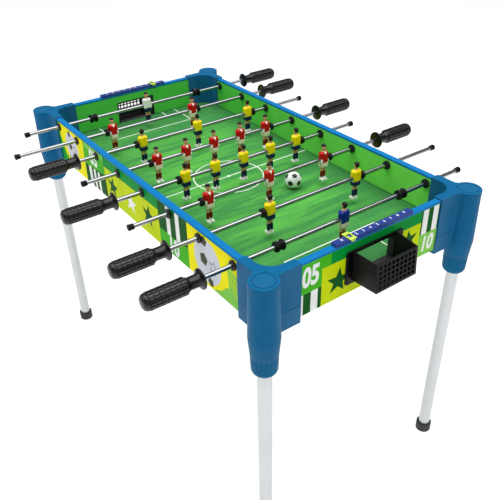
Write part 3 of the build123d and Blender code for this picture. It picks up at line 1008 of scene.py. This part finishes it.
def buildGoal():
    pieces = [buildGoalPlate(), buildGoalTray(), buildGoalNet()]
    nearX, farX, outer, top = goal["linerNear"], goal["linerFar"], goal["linerHalf"], goal["linerTop"]
    inner, floorZ = goal["mouthHalf"], goal["floorZ"]
    spans = ((-outer, -inner, floorZ), (inner, outer, floorZ), (-outer, outer, goal["mouthHigh"]))
    for left, right, low in spans:
        pieces.append(addBox("liner", place(nearX, left, low), place(farX, right, top), mm(0.5)))
    sillLow, sillHigh = place(334, -38.5, floorZ - 0.1), place(346, 38.5, floorZ + 0.06)
    pieces.append(addBox("sill", sillLow, sillHigh, mm(0.05), 1))
    made = joinPieces(pieces, "goalMaster")
    setFinish(made, "goalBlack")
    smooth(made, 38)
    return made


goalMaster = buildGoal()
for end, side in ((1, "right"), (-1, "left")):
    turn = Matrix.Rotation(0 if end > 0 else math.pi, 4, "Z")
    hand(copyPiece(goalMaster, f"goal_{side}", turn), "table", "black_plastic", f"goal_box_{side}")
discard(goalMaster)
print("stage: goals built")

# printed artwork on the panels

printFaces = {
    "front": {"origin": (0, -182.0), "along": (1, 0), "out": (0, -1)},
    "back": {"origin": (0, 182.0), "along": (-1, 0), "out": (0, 1)},
    "right": {"origin": (344.0, 0), "along": (0, 1), "out": (1, 0)},
    "left": {"origin": (-344.0, 0), "along": (0, -1), "out": (-1, 0)},
}
printStep = 0.07


def facePoint(face, along, height, level):
    spec = printFaces[face]
    lift = level * printStep
    x = spec["origin"][0] + spec["along"][0] * along + spec["out"][0] * lift
    y = spec["origin"][1] + spec["along"][1] * along + spec["out"][1] * lift
    return place(x, y, height)


def printPatch(face, outline, level, finishName):
    # a flat patch of ink; its corners are (along, height) in millimetres
    points = [facePoint(face, along, height, level) for along, height in outline]
    patch = addPatch(points, (*printFaces[face]["out"], 0), finishName)
    editAll(patch)
    bpy.ops.mesh.quads_convert_to_tris()
    objectMode()
    return patch


def bar(left, right, low, high, lean=0.0):
    return [(left, low), (right, low), (right + lean, high), (left + lean, high)]


mouthHole = {"half": 40.8, "low": -46.0, "high": -3.7}


def barRoundMouth(left, right, low, high):
    # the same bar, in pieces that leave the goal mouth open
    half, holeLow, holeHigh = mouthHole["half"], mouthHole["low"], mouthHole["high"]
    pieces = [(left, min(right, -half), low, high), (max(left, half), right, low, high)]
    middle = (max(left, -half), min(right, half))
    pieces += [(*middle, low, min(high, holeLow)), (*middle, max(low, holeHigh), high)]
    return [bar(*piece) for piece in pieces if piece[1] > piece[0] and piece[3] > piece[2]]


def roundOutline(along, height, radius, squash=1.0, count=40, turn=0.0):
    points = []
    for index in range(count):
        angle = 2 * math.pi * index / count + turn
        points.append((along + radius * math.cos(angle), height + radius * squash * math.sin(angle)))
    return points


def clipOutline(points, low, high):
    return [(along, min(max(height, low), high)) for along, height in points]


def starOutline(along, height, radius, turn=0.0):
    points = []
    for index in range(10):
        reach = radius if index % 2 == 0 else radius * 0.42
        angle = math.pi / 2 + index * math.pi / 5 + math.radians(turn)
        points.append((along + reach * math.cos(angle), height + reach * math.sin(angle)))
    return points


def printNumber(face, words, along, height, size, level, slant, narrow, weight):
    label = addLettering(words, size, weight, 6)
    for vertex in label.data.vertices:
        u = along + (vertex.co.x * narrow + vertex.co.y * slant) / millimetre
        v = height + vertex.co.y / millimetre
        vertex.co = facePoint(face, u, v, level)
    faceAlong(label, (*printFaces[face]["out"], 0))
    setFinish(label, "printWhite")
    return label


printField = {"low": -68.9, "high": 9.0, "band": -9.0, "sideHalf": 290.0, "endHalf": 127.5}


def printedBall(face, along, height, radius, squash, low, high):
    # a round ball picture with dark patches and a star in outline
    outline = clipOutline(roundOutline(along, height, radius, squash), low, high)
    inks = [printPatch(face, outline, 3, "printGrey")]
    spots = ((-0.2, 0.86, 0.24), (-0.26, 0.02, 0.3), (0.2, -0.86, 0.22))
    for dx, dz, size in spots:
        spotPlace = (along + dx * radius, height + dz * radius * squash)
        spot = roundOutline(*spotPlace, size * radius, squash, 5, 0.4 + dx)
        inks.append(printPatch(face, clipOutline(spot, low, high), 4, "printShade"))
    starPlace = (along + 0.44 * radius, height - 0.06 * radius)
    for size, level, colour in ((0.36, 4, "printShade"), (0.28, 5, "printGrey")):
        inks.append(printPatch(face, starOutline(*starPlace, size * radius, -12), level, colour))
    return inks


def printLongSide(face):
    low, high, band, half = (printField[key] for key in ("low", "high", "band", "sideHalf"))
    tufts = [
        (-268, low), (-262, -44), (-257, -60), (-250, -38),
        (-246, -58), (-238, -46), (-234, -62), (-226, low),
    ]
    rays = [(205, low), (half, low), (half, -40), (262, -46), (250, -58), (228, low)]
    patches = [
        (bar(-half, half, low, high), 1, "printLeaf"),
        # left end: tufted green and a yellow field
        ([(-half, high), (-283, high), (-283, -20), (-270, low), (-half, low)], 2, "printGreen"),
        ([(-283, high), (-180, high), (-206, low), (-254, low), (-283, -18)], 2, "printYellow"),
        (tufts, 2.5, "printGreen"),
        ([(-190, high), (-176, high), (-180, low), (-208, low)], 2.7, "printYellow"),
        # block for the first number, with a dark field under it
        ([(-174, high), (-96, high), (-96, -26), (-174, -32)], 2, "printLeaf"),
        ([(-178, -33), (-96, -27), (-96, low), (-180, low)], 2, "printDark"),
        # middle: lime block with stars under a green band
        (bar(-97, 86, low, high), 2, "printLime"),
        (bar(-97, 86, band, high), 2.5, "printGreen"),
        (bar(-174, -97, -1.0, high), 2.5, "printPale"),
        (starOutline(-69, -36, 19, -8), 3, "printDark"),
        (starOutline(-5, -38, 19, -8), 3, "printWhite"),
        (starOutline(53, -35, 20, -8), 3, "printDark"),
        # dark field above the second number
        (bar(86, 168, -38, high), 2, "printDark"),
        ([(86, -44), (168, -34), (168, low), (86, low)], 3.4, "printLeaf"),
        # right end: yellow field and rays
        (bar(167, half, low, high), 2, "printYellow"),
        (rays, 2.4, "printPale"),
        ([(264, -4), (half, -18), (half, low), (270, low)], 2.2, "printPale"),
    ]
    for left, right in ((-163, -152), (-144, -136), (-128, -119)):
        patches.append(([(left, -32), (right, -31), (right, low), (left, low)], 3, "printWhite"))
    for left, right in ((110, 121), (136, 147)):
        patches.append((bar(left, right, -38, high), 3, "printWhite"))
    for index in range(4):
        top = -14 - index * 12
        patches.append(([(258, -12 - index * 3), (half, top), (half, top - 5)], 2.6, "printLime"))
    inks = [printPatch(face, *patch) for patch in patches]
    inks.append(printNumber(face, "05", -138, -12, 38, 3, 0.0, 0.78, 1.3))
    inks.append(printNumber(face, "10", 126, -54, 37, 4, 0.0, 0.8, 1.3))
    inks += printedBall(face, -232, -24, 27, 1.02, low, high)
    inks += printedBall(face, 217, -30, 33, 1.05, low, high)
    return joinPieces(inks, f"print_{face}")


def printEnd(face):
    low, high, band, half = (printField[key] for key in ("low", "high", "band", "endHalf"))
    patches = [
        (bar(-half, -92, -36, high), 2, "printLeaf"),
        (bar(-half, -98, low, -36), 2, "printWhite"),
        (bar(-122.4, -109.7, low, -36), 3, "printDark"),
        (bar(-98, -92, low, -36), 3, "printDark"),
        (bar(-92, -77, band, high), 2, "printLeaf"),
        (starOutline(-63, -40, 21, -6), 3, "printDark"),
        (starOutline(68, -30, 18, 8), 3, "printDark"),
        (bar(90, half, -34, high), 2, "printDark"),
        (bar(93, 104, -34, high), 3, "printWhite"),
        (bar(114, 125, -34, high), 3, "printWhite"),
        (bar(90, half, low, -31), 3.5, "printPale"),
    ]
    openBars = (
        ((-half, half, low, high), 1, "printLeaf"),
        ((-92, 90, low, band), 2, "printLime"),
        ((-77, 90, band, high), 2, "printGreen"),
    )
    for span, level, colour in openBars:
        patches += [(piece, level, colour) for piece in barRoundMouth(*span)]
    inks = [printPatch(face, *patch) for patch in patches]
    inks.append(printNumber(face, "05", -110.5, -13, 40, 3, 0.06, 0.7, 1.5))
    inks.append(printNumber(face, "10", 109, -50, 34, 4, 0.08, 0.78, 1.3))
    return joinPieces(inks, f"print_{face}")


for face in ("front", "back"):
    hand(printLongSide(face), "table", "panel_print")
for face in ("left", "right"):
    hand(printEnd(face), "table", "panel_print")
print("stage: panel prints done")

# pitch lines and the painted shade line where the walls meet the field

pitch = {
    "lift": 0.08,
    "lineWidth": 2.0,
    "circleRadius": 60.0,
    "spotRadius": 3.0,
    "boxes": ((262.0, 86.0, 0.08), (300.0, 56.0, 0.1)),
    "endX": 333.0,
    "sideY": 171.6,
}


def fieldStrip(points, level):
    # a flat white shape on the field, its points in millimetres
    return addPatch([(mm(x), mm(y), fieldTop + mm(level)) for x, y in points], (0, 0, 1), "lineWhite")


def fieldBar(x1, y1, x2, y2, level):
    return fieldStrip([(x1, y1), (x2, y1), (x2, y2), (x1, y2)], level)


def buildPitchLines():
    w = pitch["lineWidth"] / 2
    strips = [fieldBar(-w, -pitch["sideY"], w, pitch["sideY"], pitch["lift"])]
    deselectAll()
    radius = mm(pitch["circleRadius"] + w)
    bpy.ops.mesh.primitive_circle_add(
        vertices=96, radius=radius, fill_type="NGON", location=(0, 0, fieldTop + mm(0.09))
    )
    ring = nameNew("ring")
    editAll(ring)
    bpy.ops.mesh.inset(thickness=mm(2 * w))
    bpy.ops.mesh.delete(type="FACE")
    objectMode()
    setFinish(ring, "lineWhite")
    strips.append(ring)
    strips.append(fieldStrip(roundOutline(0, 0, pitch["spotRadius"], 1, 20), 0.1))
    for end in (-1, 1):
        for frontX, halfY, level in pitch["boxes"]:
            strips.append(fieldBar(end * frontX - w, -halfY - w, end * frontX + w, halfY + w, level))
            for side in (-1, 1):
                y = side * halfY
                strips.append(fieldBar(end * frontX, y - w, end * pitch["endX"], y + w, level + 0.01))
    return joinPieces(strips, "pitch_lines")


hand(buildPitchLines(), "table", "field_green")


wallFootShade = {
    "sideY": 171.9,
    "endX": 333.7,
    "low": -46.0,
    "high": -45.3,
    "reachX": 309.0,
    "mouthY": 38.6,
    "reachY": 146.0,
}


def buildWallFoot():
    # thin dark line of painted shade in the crease where the walls stand on the field
    low, high, reachX = wallFootShade["low"], wallFootShade["high"], wallFootShade["reachX"]
    edge = []
    for side in (-1, 1):
        y = side * wallFootShade["sideY"]
        edge.append(addBox("shadeStrip", place(-reachX, y - 0.35, low), place(reachX, y + 0.05, high)))
        near, far = sorted((side * wallFootShade["mouthY"], side * wallFootShade["reachY"]))
        for end in (-1, 1):
            x = end * wallFootShade["endX"]
            edge.append(addBox("shadeStrip", place(x - 0.3, near, low), place(x + 0.25, far, high)))
    shadeStrip = joinPieces(edge, "wall_foot_shade_line")
    setFinish(shadeStrip, "wallFootShade")
    return shadeStrip


hand(buildWallFoot(), "table", "field_green")
print("stage: pitch lines done")

# score counters: digits, cell lines

counter = {"cell": 12.6, "cells": 10, "barX": 339.0, "lift": 0.06, "digit": 6.8}


def buildCounterPrint(end):
    low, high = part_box("score_bar_right" if end > 0 else "score_bar_left")
    top = (high.z - rodHeight) / millimetre
    first = -counter["cell"] * (counter["cells"] - 1) / 2
    marks = []
    for index in range(counter["cells"]):
        y = first + index * counter["cell"]
        digit = addLettering(str(index), counter["digit"], 0.1, 5)
        # the digits read from outside this end of the table
        turn = Matrix.Rotation(math.radians(90), 4, "Z")
        digit.data.transform(Matrix.Translation(place(counter["barX"], y, top + counter["lift"])) @ turn)
        setFinish(digit, "counterMark")
        marks.append(digit)
        if index:
            edgeY = y - counter["cell"] / 2
            line = addBox(
                "cellLine",
                place(counter["barX"] - 4.7, edgeY - 0.35, top - 0.2),
                place(counter["barX"] + 4.7, edgeY + 0.35, top + 0.05),
            )
            setFinish(line, "counterLine")
            marks.append(line)
    printed = joinPieces(marks, "score_digits_right" if end > 0 else "score_digits_left")
    if end < 0:
        printed.data.transform(Matrix.Rotation(math.pi, 4, "Z"))
    return printed


for end in (-1, 1):
    hand(buildCounterPrint(end), "table", "counter_blue")
print("stage: counters done")

# score sliders: a window frame over the counter with side tabs

slider = {"length": 10.6, "window": 6.6, "thickness": 1.3, "tab": 6.4, "tabDrop": 4.2, "skin": 1.4}


def buildSlider(end):
    low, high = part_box("score_slider_right" if end > 0 else "score_slider_left")
    centre = (low + high) / 2
    across = (high.x - low.x) / 2
    top = high.z
    halfLength, windowY = mm(slider["length"] / 2), mm(slider["window"] / 2)
    windowX = windowY + mm(0.6)
    frameTop = addFlatFrame(
        "sliderTop",
        lambda a, b: (centre.x + a * across, centre.y + b * halfLength, top),
        lambda a, b: (centre.x + a * windowX, centre.y + b * windowY, top),
    )
    thicken(frameTop, slider["thickness"])
    roundEdges(frameTop, 0.4, 3, 50)
    pieces = [frameTop]
    for side in (-1, 1):
        outerX, innerX = centre.x + side * across, centre.x + side * (across - mm(slider["skin"]))
        tabLow = (min(outerX, innerX), centre.y - mm(slider["tab"] / 2), top - mm(slider["tabDrop"]))
        tabHigh = (max(outerX, innerX), centre.y + mm(slider["tab"] / 2), top - mm(0.2))
        pieces.append(addBox("tab", tabLow, tabHigh, mm(0.4)))
    made = joinPieces(pieces, f"slider_{'right' if end > 0 else 'left'}")
    setFinish(made, "sliderLime")
    smooth(made, 38)
    return made


for end, side in ((1, "right"), (-1, "left")):
    hand(buildSlider(end), f"slider_{side}", "slider_lime", f"score_slider_{side}")
print("stage: sliders built")

# floor, light and camera

studio = {
    "floorSize": 40.0,
    "floorColour": "#bcbcbb",
    "floorGlow": 0.76,
    "worldStrength": 0.24,
    # each light's name, place, size and power
    "lights": (
        ("keyLight", (-0.9, -1.6, 2.6), 2.4, 30.0),
        ("topLight", (0.2, 0.3, 2.8), 3.0, 82.0),
        ("sideLight", (2.4, -0.6, 1.4), 2.0, 5.0),
    ),
}

deselectAll()
bpy.ops.mesh.primitive_plane_add(size=studio["floorSize"], location=(0, 0, 0))
floor = nameNew("studio_floor")
paper = {"roughness": (0.7, 0.8), "patches": 0.0, "scuffs": 0.0, "edgeWear": 0.0, "bump": 0.02}
floorPaper = startMaterial("floorPaper", {"colour": studio["floorColour"], **paper})
floorPaper["shader"].inputs["Emission Color"].default_value = (1, 1, 1, 1)
floorPaper["shader"].inputs["Emission Strength"].default_value = studio["floorGlow"]
floor.data.materials.append(floorPaper["material"])

world = bpy.data.worlds.new("studio")
bpy.context.scene.world = world
world.use_nodes = True
background = world.node_tree.nodes["Background"]
background.inputs["Color"].default_value = (1, 1, 1, 1)
# soft fill for the object, plain white where the backdrop itself is seen
rayKind = addNode(world.node_tree, "ShaderNodeLightPath")
fill = mathNode(world.node_tree, "MAXIMUM", rayKind.outputs["Is Camera Ray"], studio["worldStrength"])
world.node_tree.links.new(fill, background.inputs["Strength"])


def addSoftLight(name, location, size, power):
    deselectAll()
    bpy.ops.object.light_add(type="AREA", location=location)
    lamp = bpy.context.object
    lamp.name = name
    lamp.data.shape = "SQUARE"
    lamp.data.size = size
    lamp.data.energy = power
    aim = Vector((0, 0, 0.4)) - Vector(location)
    lamp.rotation_euler = aim.to_track_quat("-Z", "Y").to_euler()


for light in studio["lights"]:
    addSoftLight(*light)

view = {
    "azimuth": 54.1,
    "elevation": 33.5,
    "roll": -1.0,
    "distance": 1.0628,
    "across": 0.0447,
    "up": -0.1659,
    "lens": 45.61,
    "shift": (-0.0118, -0.0002),
}


def placeCamera():
    azimuth = math.radians(view["azimuth"])
    elevation = math.radians(view["elevation"])
    roll = math.radians(view["roll"])
    back = Vector((
        math.sin(azimuth) * math.cos(elevation),
        -math.cos(azimuth) * math.cos(elevation),
        math.sin(elevation),
    ))
    right = (-back).cross(Vector((0, 0, 1))).normalized()
    up = right.cross(-back)
    turnedRight = math.cos(roll) * right + math.sin(roll) * up
    turnedUp = -math.sin(roll) * right + math.cos(roll) * up
    spot = Vector((0, 0, rodHeight)) + back * view["distance"] + right * view["across"] + up * view["up"]
    deselectAll()
    bpy.ops.object.camera_add(location=spot)
    camera = bpy.context.object
    camera.name = "productCamera"
    camera.rotation_euler = Matrix((turnedRight, turnedUp, back)).transposed().to_euler()
    camera.data.lens = view["lens"]
    camera.data.sensor_width = 36
    camera.data.shift_x, camera.data.shift_y = view["shift"]
    camera.data.clip_end = 100
    bpy.context.scene.camera = camera


placeCamera()
bpy.context.scene.view_settings.view_transform = "Standard"
bpy.context.scene.view_settings.look = "None"
print("stage: studio ready")
